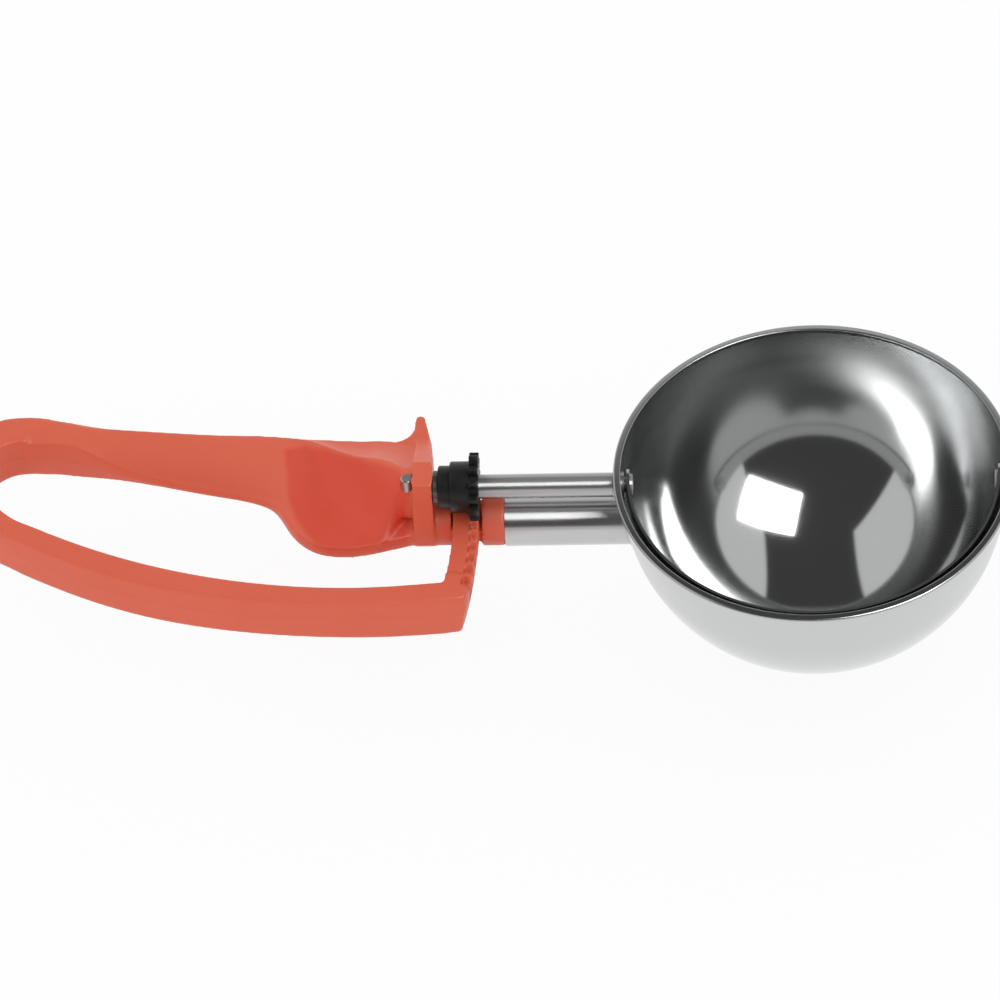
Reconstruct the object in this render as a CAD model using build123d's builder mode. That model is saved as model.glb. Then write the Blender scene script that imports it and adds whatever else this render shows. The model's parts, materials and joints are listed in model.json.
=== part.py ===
"""Lever ice cream scoop: a one-piece plastic squeeze handle, a steel bowl on a stem,
and a scraper blade that a rack and pinion turn through the bowl.

Millimetres. The origin is the centre of the bowl's rim plane, +Z points out of the bowl's
mouth, +X runs from the handle towards the bowl, and the squeeze lever is on the -Y side.
"""
import os
from math import acos, asin, atan2, cos, degrees, hypot, pi, radians, sin, sqrt, tan

from build123d import *

os.makedirs("parts", exist_ok=True)

# ---- bowl ---------------------------------------------------------------------------
bowl_radius = 46.2  # inside of the spherical part, which the blade sweeps
bowl_wall = 0.9
axis_depth = 4.2  # rim plane down to the blade's axis
flare_angle = 12.6  # below the axis the wall leaves the sphere here, straight to the rim
rim_round = 0.25

# ---- blade, rod and pinion ----------------------------------------------------------
blade_gap = 0.3  # running gap between blade and bowl
blade_thickness = 0.7
blade_width = 8.2
blade_rest_tilt = 1.4  # the blade rests this far below the axis plane
rod_radius = 3.0
journal_radius = 2.0
running_fit = 0.05
rivet_head_radius = 3.0
rivet_head_height = 0.9
pivot_radius = 1.6
bush_radius = 3.2
bush_inset = 0.75  # how far the bush stands into the bowl
washer_gap = 0.1
washer_thickness = 0.6

teeth = 12
module = 1.2
pressure_angle = 20.0
backlash = 0.34
undercut = 0.78  # a tooth's width at its foot over its width at the pitch circle
root_depth = 1.35
gear_width = 2.3
mesh_phase = 8.8  # a pinion tooth stands this far past straight down
hub_radius = 6.3
hub_length = 4.8
collar_hub_radius = 5.3
collar_hub_length = 2.9
hub_chamfer = 0.5

# ---- stem ---------------------------------------------------------------------------
stem_drop = 12.4  # blade axis down to stem axis
stem_radius = 6.35
tang_width = 8.4
tang_thickness = 2.4
tang_length = 29.0
tang_fit = 0.05
braze_size = 0.8
pin_radius = 1.45
pin_fit = 0.02
pin_top = -0.6
pin_inset = 5.4  # from the tang's end to the pin's centre

# ---- handle, along X ----------------------------------------------------------------
nose_x = -76.0  # front face of the nose, where the stem's shoulder seats
bulkhead_back_x = -98.4
bulkhead_thickness = 5.2
thrust_space = 1.25  # from the bulkhead to the pinion, which the thrust washer fills
flex_start_x = -196.0
nose_radius = 6.5
nose_lift = 0.6  # the nose's centre stands this far over the stem's
barrel_radius = 5.9
core_skin = 0.75  # plastic over the tang between the fork's limbs

# ---- handle, across -----------------------------------------------------------------
flex_rear_y = 31.85
flex_start_thickness = 8.8  # where the bend leaves the grip
flex_end_thickness = 6.1  # where it runs out into the lever
flex_turn_radius = 16.35  # the tight half of the bend's outside
flex_run_radius = 27.35  # the open half
lever_slope = 31.0
hinge_x = -196.5  # the bend's effective pivot
hinge_y = -5.9
lever_travel = 10.0
limb_width = 6.6
post_setback = 0.3  # the post's end face lies this far behind the pinion's front face
post_corner = 1.7
fork_clearance = 0.3
rack_teeth = 8
end_slant = 1.4  # how far the post's end face leans in over its lower part
edge_round = 0.8
tower_top = 0.5
bulkhead_round = 1.1
fin_top_y = 31.2
fin_lean = 3.1  # how far the fin's front face leans back at its tip

# ---- derived values -----------------------------------------------------------------
axis_z = -axis_depth
stem_z = axis_z - stem_drop
bowl_outer = bowl_radius + bowl_wall
blade_outer = bowl_radius - blade_gap
blade_inner = blade_outer - blade_thickness
pitch_radius = module * teeth / 2
tip_radius = pitch_radius + module
root_radius = pitch_radius - root_depth
pitch_z = axis_z - pitch_radius
pin_x = nose_x - tang_length + pin_inset
bulkhead_front_x = bulkhead_back_x + bulkhead_thickness
pinion_start_x = bulkhead_front_x + thrust_space
hub_start_x = pinion_start_x + collar_hub_length
hub_end_x = hub_start_x + hub_length
gear_x = hub_end_x + gear_width / 2  # middle of the pinion's toothed rim
nose_back_x = gear_x + gear_width / 2 + fork_clearance
lever_top = pitch_z + module  # rack tooth tips are flush with the lever's top face
half_height = lever_top - stem_z
tooth_root_z = pitch_z - root_depth
tooth_pitch = pi * module
rack_reach = gear_x - hinge_x
rack_radius = hypot(rack_reach, hinge_y)
mesh_angle = degrees(atan2(-hinge_y, rack_reach))
rack_step = degrees(tooth_pitch / rack_reach)
squeeze_ratio = rack_reach / pitch_radius
core_half = tang_thickness / 2 + core_skin
core_side = tang_width / 2 + 1.0
fork_half = core_half + fork_clearance
limb_outer = rack_radius + gear_width / 2 - post_setback
limb_inner = limb_outer - limb_width
barrel_front_radius = limb_inner - fork_clearance  # the barrel's front is an arc about the hinge
rail_top = axis_z - hub_radius - fork_clearance
rail_radius = rack_radius - gear_width / 2 - fork_clearance
tooth_radius = rail_radius + 2 * fork_clearance  # the rack's teeth stay clear of the hub
foot_z = stem_z - half_height
flex_inner_y = flex_rear_y - flex_start_thickness
wall_at_axis = bowl_outer / cos(radians(flare_angle))
print(f"squeeze ratio {squeeze_ratio:.4f}, blade sweep {squeeze_ratio * lever_travel:.1f} deg")


def wall_profile(radius):
    """The bowl's meridian for one of its two surfaces: where it leaves the sphere, and the rim."""
    leave = radians(flare_angle)
    tangent = (radius * cos(leave), axis_z - radius * sin(leave))
    rim = (radius / cos(leave) - axis_z * tan(leave), 0)
    return tangent, rim


# ---- bowl: spun shell with a straight flared band -------------------------------------
with BuildPart() as bowl_envelope:
    tangent_point, rim_point = wall_profile(bowl_outer)
    with BuildSketch(Plane.XZ):
        with BuildLine():
            RadiusArc((0, axis_z - bowl_outer), tangent_point, -bowl_outer)
            Line(tangent_point, rim_point)
            Polyline(rim_point, (0, 0), (0, axis_z - bowl_outer))
        make_face()
    revolve(axis=Axis.Z)

with BuildPart() as bowl:
    inner_tangent, inner_rim = wall_profile(bowl_radius)
    with BuildSketch(Plane.XZ):
        with BuildLine():
            RadiusArc((0, axis_z - bowl_outer), tangent_point, -bowl_outer)
            Polyline(tangent_point, rim_point, inner_rim, inner_tangent)
            RadiusArc(inner_tangent, (0, axis_z - bowl_radius), bowl_radius)
            Line((0, axis_z - bowl_radius), (0, axis_z - bowl_outer))
        make_face()
    revolve(axis=Axis.Z)
    fillet(bowl.edges().group_by(Axis.Z)[-1], rim_round)
    with BuildSketch(Plane.YZ.offset(-bowl_outer - bowl_wall * 3)):
        with Locations((0, axis_z)):
            Circle(bush_radius)
    extrude(amount=bowl_wall * 6, mode=Mode.SUBTRACT)
    with BuildSketch(Plane.YZ.offset(bowl_radius - bowl_wall)):
        with Locations((0, axis_z)):
            Circle(pivot_radius)
    extrude(amount=bowl_wall * 6, mode=Mode.SUBTRACT)

# ---- scraper blade: a strip of the swept sphere with a round lug at each pivot ----------
blade_side = 180 + blade_rest_tilt
blade_plane = Plane(
    origin=(0, 0, axis_z),
    x_dir=(0, cos(radians(blade_side)), sin(radians(blade_side))),
    z_dir=(1, 0, 0),
)
with BuildPart() as scraper_blade:
    with BuildSketch(blade_plane):
        Circle(blade_width / 2)
        with Locations((bowl_radius / 2, 0)):
            Rectangle(bowl_radius, blade_width)
    extrude(amount=bowl_radius, both=True)
    with Locations((0, 0, axis_z)):
        Sphere(blade_outer, mode=Mode.INTERSECT)
        Sphere(blade_inner, mode=Mode.SUBTRACT)
    with BuildSketch(Plane.YZ.offset(-bowl_radius)):
        with Locations((0, axis_z)):
            Circle(journal_radius)
    extrude(amount=bowl_radius, mode=Mode.SUBTRACT)
    with BuildSketch(Plane.YZ):
        with Locations((0, axis_z)):
            Circle(pivot_radius + running_fit)
    extrude(amount=bowl_radius, mode=Mode.SUBTRACT)

# ---- front bush: brazed through the bowl wall -----------------------------------------


def turned_step(start_x, end_x, radius):
    """A plain cylinder about the blade's axis, between two X positions."""
    with BuildPart() as step:
        with BuildSketch(Plane.YZ.offset(start_x)):
            with Locations((0, axis_z)):
                Circle(radius)
        extrude(amount=end_x - start_x)
    return step.part


bush_outer_x = -wall_at_axis - bush_inset
bush_inner_x = -blade_outer - washer_gap * 5
with BuildPart() as shaft_bush:
    add(turned_step(bush_outer_x, bush_inner_x, bush_radius))
    add(turned_step(bush_outer_x, bush_inner_x, journal_radius + running_fit), mode=Mode.SUBTRACT)

# ---- drive rod: journal, shaft, neck through the bush, peened head ----------------------
shoulder_x = bush_outer_x - washer_gap
journal_tip_x = bulkhead_back_x + 1.2
with BuildPart() as drive_rod:
    head_seat_x = -sqrt(blade_inner**2 - rivet_head_radius**2)
    add(turned_step(journal_tip_x, head_seat_x + rivet_head_height / 2, journal_radius))
    add(turned_step(pinion_start_x, shoulder_x, rod_radius))
    add(turned_step(head_seat_x, head_seat_x + rivet_head_height, rivet_head_radius))
    fillet(drive_rod.edges().group_by(Axis.X)[-1], rivet_head_height * 0.7)

# ---- pinion: toothed rim on a stepped hub ---------------------------------------------
half_tooth = degrees((tooth_pitch - backlash) / 4 / pitch_radius)
base_radius = pitch_radius * cos(radians(pressure_angle))
tip_pressure = acos(base_radius / tip_radius)
involute_gain = tan(tip_pressure) - tip_pressure - tan(radians(pressure_angle)) + radians(pressure_angle)
flank_lean = degrees(involute_gain)


def on_gear(radius, angle):
    """A point of the pinion's end view, at an angle from straight down towards +Y."""
    turn = radians(angle - 90)
    return (radius * cos(turn), radius * sin(turn))


gear_axis_plane = Plane(origin=(hub_end_x, 0, axis_z), x_dir=(0, 1, 0), z_dir=(1, 0, 0))
with BuildPart() as pinion:
    with BuildSketch(gear_axis_plane):
        Circle(root_radius)
        for tooth in range(teeth):
            centre = mesh_phase + tooth * 360 / teeth
            with BuildLine():
                tip_left = on_gear(tip_radius, centre - half_tooth + flank_lean)
                tip_right = on_gear(tip_radius, centre + half_tooth - flank_lean)
                foot_left = on_gear(root_radius * 0.97, centre - half_tooth * undercut)
                foot_right = on_gear(root_radius * 0.97, centre + half_tooth * undercut)
                pitch_left = on_gear(pitch_radius, centre - half_tooth)
                pitch_right = on_gear(pitch_radius, centre + half_tooth)
                Polyline(foot_left, pitch_left, tip_left)
                ThreePointArc(tip_left, on_gear(tip_radius, centre), tip_right)
                Polyline(tip_right, pitch_right, foot_right, foot_left)
            make_face()
    extrude(amount=gear_width)
    with BuildSketch(gear_axis_plane):
        Circle(hub_radius)
    extrude(amount=-hub_length)
    chamfer(pinion.edges().filter_by(GeomType.CIRCLE).group_by(Axis.X)[0], hub_chamfer)
    with BuildSketch(gear_axis_plane):
        Circle(collar_hub_radius)
    extrude(amount=-hub_length - collar_hub_length)
    chamfer(pinion.edges().filter_by(GeomType.CIRCLE).group_by(Axis.X)[0], hub_chamfer)
    with BuildSketch(gear_axis_plane):
        Circle(rod_radius)
    extrude(amount=gear_width, mode=Mode.SUBTRACT)
    with BuildSketch(gear_axis_plane):
        Circle(rod_radius)
    extrude(amount=-hub_length - collar_hub_length, mode=Mode.SUBTRACT)

# ---- thrust washer between pinion and bulkhead ----------------------------------------
with BuildPart() as thrust_washer:
    washer_start_x = bulkhead_front_x + washer_gap
    washer_end_x = pinion_start_x - washer_gap
    add(turned_step(washer_start_x, washer_end_x, collar_hub_radius - 1.2))
    add(turned_step(washer_start_x, washer_end_x, journal_radius), mode=Mode.SUBTRACT)

# ---- far pivot: rivet through the bowl wall, with a washer behind the blade --------------
with BuildPart() as pivot_rivet:
    add(turned_step(bowl_radius, wall_at_axis + rivet_head_height, rivet_head_radius - 0.5))
    fillet(pivot_rivet.edges().group_by(Axis.X)[-1], rivet_head_height * 0.6)
    add(bowl_envelope.part, mode=Mode.SUBTRACT)
    add(turned_step(blade_inner - washer_gap, wall_at_axis + washer_gap, pivot_radius))
    inner_face_x = blade_inner - washer_gap
    add(turned_step(inner_face_x - rivet_head_height, inner_face_x, rivet_head_radius - 0.6))
    fillet(pivot_rivet.edges().group_by(Axis.X)[0], rivet_head_height * 0.6)

with BuildPart() as pivot_washer:
    washer_x = blade_outer + washer_gap
    add(turned_step(washer_x, washer_x + washer_thickness, rivet_head_radius - 0.2))
    add(turned_step(washer_x, washer_x + washer_thickness, pivot_radius), mode=Mode.SUBTRACT)

# ---- stem: round bar with a flat tang, coped onto the bowl -----------------------------
with BuildPart() as stem:
    with BuildSketch(Plane.YZ.offset(nose_x)):
        with Locations((0, stem_z)):
            Circle(stem_radius)
    extrude(amount=bowl_radius)
    add(bowl_envelope.part, mode=Mode.SUBTRACT)
    with BuildSketch(Plane.XY.offset(stem_z)):
        with Locations((nose_x - tang_length / 2, 0)):
            Rectangle(tang_length, tang_width)
    extrude(amount=tang_thickness / 2, both=True)
    fillet(stem.edges().filter_by(Axis.Z).group_by(Axis.X)[0], tang_width / 4)
    with BuildSketch(Plane.XY.offset(stem_z)):
        with Locations((pin_x, 0)):
            Circle(pin_radius + pin_fit)
    extrude(amount=tang_thickness, both=True, mode=Mode.SUBTRACT)

# ---- braze: a small collar of filler where the stem meets the bowl --------------------
with BuildPart() as stem_braze:
    with BuildSketch(Plane.YZ.offset(nose_x)):
        with Locations((0, stem_z)):
            Circle(stem_radius + braze_size)
            Circle(stem_radius, mode=Mode.SUBTRACT)
    extrude(amount=bowl_radius)
    with Locations((0, 0, axis_z)):
        Sphere(bowl_outer + braze_size, mode=Mode.INTERSECT)
    add(bowl_envelope.part, mode=Mode.SUBTRACT)

# ---- flexing bend that joins the fixed grip to the lever, thinner towards the lever ------
bend_turn = radians(90 - lever_slope)
with BuildPart() as flex_bend:
    with BuildSketch(Plane.XY.offset(foot_z)):
        with BuildLine():
            rear_turn = JernArc((flex_start_x, flex_rear_y), (-1, 0), flex_turn_radius, 90)
            rear_run = JernArc(rear_turn @ 1, rear_turn % 1, flex_run_radius, degrees(bend_turn))
            bend_end = rear_run @ 1
            inner_end_x = bend_end.X + flex_end_thickness * sin(radians(lever_slope))
            inner_end_y = bend_end.Y + flex_end_thickness * cos(radians(lever_slope))
            along = inner_end_x - flex_start_x
            across = inner_end_y - flex_inner_y
            inner_run_radius = (along - across) / (1 - cos(bend_turn) + sin(bend_turn))
            inner_turn_radius = inner_run_radius * (1 - cos(bend_turn)) - along
            front_turn = JernArc((flex_start_x, flex_inner_y), (-1, 0), inner_turn_radius, 90)
            front_run = JernArc(front_turn @ 1, front_turn % 1, inner_run_radius, degrees(bend_turn))
            Line(rear_turn @ 0, front_turn @ 0)
            Line(rear_run @ 1, front_run @ 1)
        make_face()
    extrude(amount=2 * half_height)
    fillet(flex_bend.edges().filter_by(GeomType.CIRCLE), edge_round)

# ---- squeeze lever: arched bar, two-limbed fork, arc rack on the upper limb --------------
root_heading = (cos(radians(lever_slope)), -sin(radians(lever_slope)))


def angle_at(radius, y):
    """The angle about the hinge at which a radius reaches a given Y."""
    return degrees(asin((y - hinge_y) / radius))


def ring_sector(inner, outer, start, end):
    """A plan-view ring sector about the hinge, between two radii and two angles."""
    with BuildSketch() as sector:
        with BuildLine():
            outside = CenterArc((hinge_x, hinge_y), outer, start, end - start)
            inside = CenterArc((hinge_x, hinge_y), inner, start, end - start)
            Line(outside @ 0, inside @ 0)
            Line(outside @ 1, inside @ 1)
        make_face()
    return sector.sketch


def about_hinge(radius, angle):
    """A plan point at a radius and an angle from the lever's hinge."""
    return (hinge_x + radius * cos(radians(angle)), hinge_y + radius * sin(radians(angle)))


first_tooth = mesh_angle + degrees(radians(mesh_phase) * pitch_radius / rack_reach) + rack_step / 2
tip_angle = first_tooth + rack_step * 0.4
post_foot = angle_at(limb_outer, -31.2)
post_inner_foot = angle_at(limb_inner, -25.4)
window_start = angle_at(rack_radius, -26.3)
trough_start = angle_at(rack_radius, -26.8)
rack_half_tooth = (tooth_pitch - backlash) / 4
tooth_lean = tan(radians(pressure_angle))

with BuildPart() as squeeze_lever:
    with BuildSketch(Plane.XY.offset(foot_z)):
        with BuildLine():
            inner_edge = Spline(
                front_run @ 1,
                (-170, -15.6),
                (-140.2, -24.1),
                (-110.7, -26.7),
                about_hinge(limb_inner, post_inner_foot),
                tangents=[root_heading, (1, 0.09)],
            )
            outer_edge = Spline(
                rear_run @ 1,
                (-170.5, -22.5),
                (-140.7, -30.2),
                (-111.2, -32.6),
                about_hinge(limb_outer, post_foot),
                tangents=[root_heading, (1, 0.1)],
            )
            Line(inner_edge @ 0, outer_edge @ 0)
            post_inner = CenterArc(
                (hinge_x, hinge_y), limb_inner, post_inner_foot, tip_angle - post_inner_foot
            )
            post_outer = CenterArc((hinge_x, hinge_y), limb_outer, post_foot, tip_angle - post_foot)
            Line(post_inner @ 1, post_outer @ 1)
        make_face()
    extrude(amount=2 * half_height)
    outer_corner = squeeze_lever.edges().filter_by(Axis.Z).sort_by(Axis.Y)[0]
    fillet(outer_corner, post_corner)
    for level in (-1, 0):
        rim = squeeze_lever.faces().sort_by(Axis.Z)[level]
        fillet(rim.edges().filter_by(GeomType.BSPLINE), edge_round)
    with BuildSketch(Plane.XY.offset(stem_z - fork_half)):
        add(ring_sector(limb_inner - 0.6, limb_outer + 1, window_start, tip_angle + 1))
    extrude(amount=2 * fork_half, mode=Mode.SUBTRACT)
    with BuildSketch(Plane.XY.offset(rail_top)):
        add(ring_sector(limb_inner - 1, rail_radius, angle_at(rack_radius, -23.2), tip_angle + 1))
    extrude(amount=1, mode=Mode.SUBTRACT)
    with BuildSketch(Plane.XY.offset(tooth_root_z)):
        add(ring_sector(rail_radius, limb_outer + 1, trough_start, tip_angle + 1))
    extrude(amount=3, mode=Mode.SUBTRACT)
    for tooth in range(rack_teeth):
        at_angle = first_tooth - tooth * rack_step
        facing = radians(at_angle - mesh_angle)
        tooth_plane = Plane(
            origin=(*about_hinge(tooth_radius, at_angle), tooth_root_z),
            x_dir=(-sin(facing), cos(facing), 0),
            z_dir=(cos(facing), sin(facing), 0),
        )
        with BuildSketch(tooth_plane):
            with BuildLine():
                tooth_height = module + root_depth
                foot_half = rack_half_tooth + root_depth * tooth_lean
                tip_half = rack_half_tooth - module * tooth_lean
                Polyline((-foot_half, 0), (-tip_half, tooth_height), (tip_half, tooth_height))
                Polyline((tip_half, tooth_height), (foot_half, 0))
                Polyline((foot_half, 0), (foot_half, -0.4), (-foot_half, -0.4), (-foot_half, 0))
            make_face()
        extrude(amount=limb_outer - tooth_radius - 0.05)
    with BuildSketch(Plane.XZ.offset(-hinge_y)):
        with BuildLine():
            end_x = hinge_x + limb_outer
            slant_top = (end_x, stem_z + fork_half)
            slant_foot = (end_x - end_slant, foot_z)
            Polyline(slant_top, slant_foot, (end_x + 1, foot_z), (end_x + 1, stem_z), slant_top)
        make_face()
    revolve(axis=Axis((hinge_x, hinge_y, 0), (0, 0, 1)), mode=Mode.SUBTRACT)

# ---- fixed grip: lofted bar and scooped housing, bulkhead, fin, nose ---------------------


def grip_section(station, rear, front, crest, lip, shelf, soft, dips):
    """One cross-section of the grip, seen along X.

    station runs from 0 at the bend to 1 just inside the bulkhead. rear and front are the widest
    points, crest is the ridge (Y, Z), lip is half the height of the front edge, shelf is the
    flat rim inside it and soft rounds the underside. dips pull the top face in, a third and
    two thirds of the way down from the crest, and crown it where they are negative.
    """
    x = flex_start_x + station * (bulkhead_back_x + edge_round - flex_start_x)
    corner = min(soft, 4.5) * 0.4
    rear_low = (rear - corner, foot_z)
    rear_high = (rear - corner / 3, stem_z + half_height - corner)
    lip_high = (front, stem_z + lip)
    lip_low = (front, stem_z - lip)
    keel = (front + soft, foot_z)
    climb = shelf / (crest[0] - front)
    rim = Vector(front + shelf, lip_high[1] + climb * (crest[1] - lip_high[1]))
    fall = rim - Vector(*crest)
    inward = Vector(-fall.Y, fall.X).normalized()
    upper = Vector(*crest) + fall / 3 + inward * dips[0]
    lower = Vector(*crest) + fall * 2 / 3 + inward * dips[1]
    with BuildSketch(Plane.YZ.offset(x)) as section:
        with BuildLine():
            ThreePointArc(rear_low, (rear, stem_z), rear_high)
            back = hypot(crest[0] - rear_high[0], crest[1] - rear_high[1])
            SagittaArc(rear_high, crest, back / 16)
            Bezier(crest, upper, lower, rim)
            Line(rim, lip_high)
            ThreePointArc(lip_high, (front - 0.35, stem_z), lip_low)
            SagittaArc(lip_low, keel, soft / 6)
            Line(keel, rear_low)
        make_face()
    return section.sketch


with BuildPart() as barrel:
    with BuildSketch(Plane.YZ.offset(bulkhead_front_x - edge_round)):
        with Locations((0, stem_z)):
            Circle(barrel_radius)
    extrude(amount=hinge_x + limb_inner - bulkhead_front_x + edge_round)
    with BuildSketch(Plane.XY.offset(foot_z)):
        with Locations((hinge_x, hinge_y)):
            Circle(barrel_front_radius)
    extrude(amount=2 * half_height, mode=Mode.INTERSECT)

with BuildPart() as grip:
    add(grip_section(0, flex_rear_y, flex_inner_y, (31.3, -10.3), 5.6, 0.5, 0.6, (-0.1, -0.1)))
    add(grip_section(0.09, 30.4, 22.6, (29.3, -10.3), 5.6, 0.5, 0.8, (-0.3, -0.3)))
    add(grip_section(0.215, 28.4, 18.5, (27.0, -10.3), 3.1, 0.5, 3.2, (-1.0, -1.0)))
    add(grip_section(0.37, 26.9, 13.4, (25.4, -10.2), 1.2, 0.5, 5.0, (-2.1, -2.1)))
    add(grip_section(0.5, 25.8, 10.0, (24.2, -10.1), 1.1, 0.5, 5.5, (-2.7, -2.7)))
    add(grip_section(0.6, 25.2, 7.1, (23.6, -10.0), 1.1, 0.6, 7.0, (-2.7, -2.7)))
    add(grip_section(0.64, 25.0, 4.6, (23.2, -10.0), 1.4, 1.5, 8.0, (-2.2, -2.2)))
    add(grip_section(0.68, 24.8, -2.2, (22.6, -9.9), 1.7, 4.4, 9.0, (-1.3, -1.3)))
    add(grip_section(0.71, 24.6, -6.0, (21.9, -9.7), 1.8, 5.0, 9.5, (1.5, 1.5)))
    add(grip_section(0.75, 24.4, -8.8, (19.9, -9.2), 1.8, 2.4, 10.5, (3.6, 3.7)))
    add(grip_section(0.8, 24.0, -10.0, (16.4, -8.2), 1.8, 0.8, 11.0, (4.0, 4.3)))
    add(grip_section(0.86, 23.7, -9.8, (12.4, -6.2), 1.8, 0.7, 11.0, (2.2, 3.6)))
    add(grip_section(0.93, 23.4, -8.1, (8.2, -3.2), 1.8, 0.6, 9.5, (-3.5, -1.0)))
    add(grip_section(1, 23.0, -6.0, (4.6, -0.2), 1.8, 0.5, 8.0, (-5.1, -2.9)))
    loft()
    with BuildSketch(Plane.YZ.offset(bulkhead_back_x)) as bulkhead_face:
        with BuildLine():
            Polyline(
                (-3.6, tower_top),
                (-6.3, -15),
                (-6.3, -18.5),
                (-2.5, foot_z),
                (21.5, foot_z),
                (23.4, stem_z),
                (22.6, -11.6),
                (19.5, -9.8),
                (4.2, tower_top),
                close=True,
            )
        make_face()
        fillet(bulkhead_face.vertices(), bulkhead_round)
    extrude(amount=bulkhead_thickness)
    with BuildSketch(Plane.XY.offset(foot_z + edge_round)):
        fin_back = bulkhead_back_x - bulkhead_round / 2
        fin_front = bulkhead_front_x - fin_lean
        with BuildLine():
            back_turn = (fin_back, 27.0)
            back_root = (fin_back - 6.5, 22.6)
            back_top = (fin_back + 0.2, fin_top_y - 1.0)
            front_top = (fin_front, fin_top_y - 1.0)
            ThreePointArc(back_root, (fin_back - 2.0, 23.8), back_turn)
            Line(back_turn, back_top)
            ThreePointArc(back_top, ((fin_back + fin_front) / 2, fin_top_y), front_top)
            Polyline(front_top, (bulkhead_front_x, 20.0), (fin_back - 6.5, 15.0), back_root)
        make_face()
    extrude(amount=2 * half_height - 3 * edge_round)
    with BuildSketch(Plane.XY.offset(foot_z)):
        with BuildLine():
            Polyline(
                (bulkhead_front_x, 3.0),
                (bulkhead_front_x - fin_lean * 0.4, 21.5),
                (bulkhead_front_x - fin_lean, fin_top_y - 1.0),
                (bulkhead_front_x - fin_lean, fin_top_y + 1),
                (bulkhead_front_x + 1, fin_top_y + 1),
                (bulkhead_front_x + 1, 3.0),
                close=True,
            )
        make_face()
    extrude(amount=tower_top - foot_z + 1, mode=Mode.SUBTRACT)
    add(barrel.part)
    with BuildSketch(Plane.YZ.offset(bulkhead_front_x)):
        with Locations((0, stem_z)):
            Rectangle(2 * core_side, 2 * core_half)
    extrude(amount=nose_back_x - bulkhead_front_x)
    with BuildSketch(Plane.YZ.offset(nose_back_x)):
        with Locations((0, stem_z + nose_lift)):
            Circle(nose_radius)
    extrude(amount=nose_x - nose_back_x)
    with BuildSketch(Plane.YZ.offset(nose_x)):
        with Locations((0, stem_z)):
            Rectangle(tang_width + 2 * tang_fit, tang_thickness + 2 * tang_fit)
    extrude(amount=-tang_length - 0.3, mode=Mode.SUBTRACT)
    with BuildSketch(Plane.YZ.offset(bulkhead_front_x)):
        with Locations((0, axis_z)):
            Circle(journal_radius + running_fit)
    extrude(amount=journal_tip_x - 0.2 - bulkhead_front_x, mode=Mode.SUBTRACT)
    with BuildSketch(Plane.XY.offset(foot_z)):
        with Locations((pin_x, 0)):
            Circle(pin_radius + pin_fit)
    extrude(amount=4 * half_height, mode=Mode.SUBTRACT)

# ---- pin through the grip and the stem's tang ------------------------------------------
with BuildPart() as stem_pin:
    with BuildSketch(Plane.XY.offset(foot_z + edge_round)):
        with Locations((pin_x, 0)):
            Circle(pin_radius)
    extrude(amount=pin_top - foot_z - edge_round)
    chamfer(stem_pin.edges(), pin_radius / 6)

# ---- export ----------------------------------------------------------------------------
pieces = {
    "grip": grip,
    "flex_bend": flex_bend,
    "squeeze_lever": squeeze_lever,
    "stem": stem,
    "stem_pin": stem_pin,
    "stem_braze": stem_braze,
    "bowl": bowl,
    "shaft_bush": shaft_bush,
    "pivot_rivet": pivot_rivet,
    "pivot_washer": pivot_washer,
    "drive_rod": drive_rod,
    "pinion": pinion,
    "thrust_washer": thrust_washer,
    "scraper_blade": scraper_blade,
}
for name, piece in pieces.items():
    piece.part.label = name
    export_step(piece.part, f"parts/{name}.step")
    box = piece.part.bounding_box()
    print(name, len(piece.part.solids()), piece.part.is_valid, round(piece.part.volume, 1), box.min, box.max)
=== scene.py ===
"""Dresses the lever ice cream scoop: moulded handle, pinion, scraper blade and polished bowl.

Every length is in metres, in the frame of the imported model: the origin is the centre of the bowl's
rim plane, +Z points out of the bowl's mouth and +X runs from the handle towards the bowl.
"""
from __future__ import annotations

import json
import logging
from dataclasses import dataclass, field
from enum import Enum
from math import cos, hypot, inf, pi, radians, sin, tan, tau
from typing import Callable, Sequence

import bmesh
import bpy
from mathutils import Matrix, Vector

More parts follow.
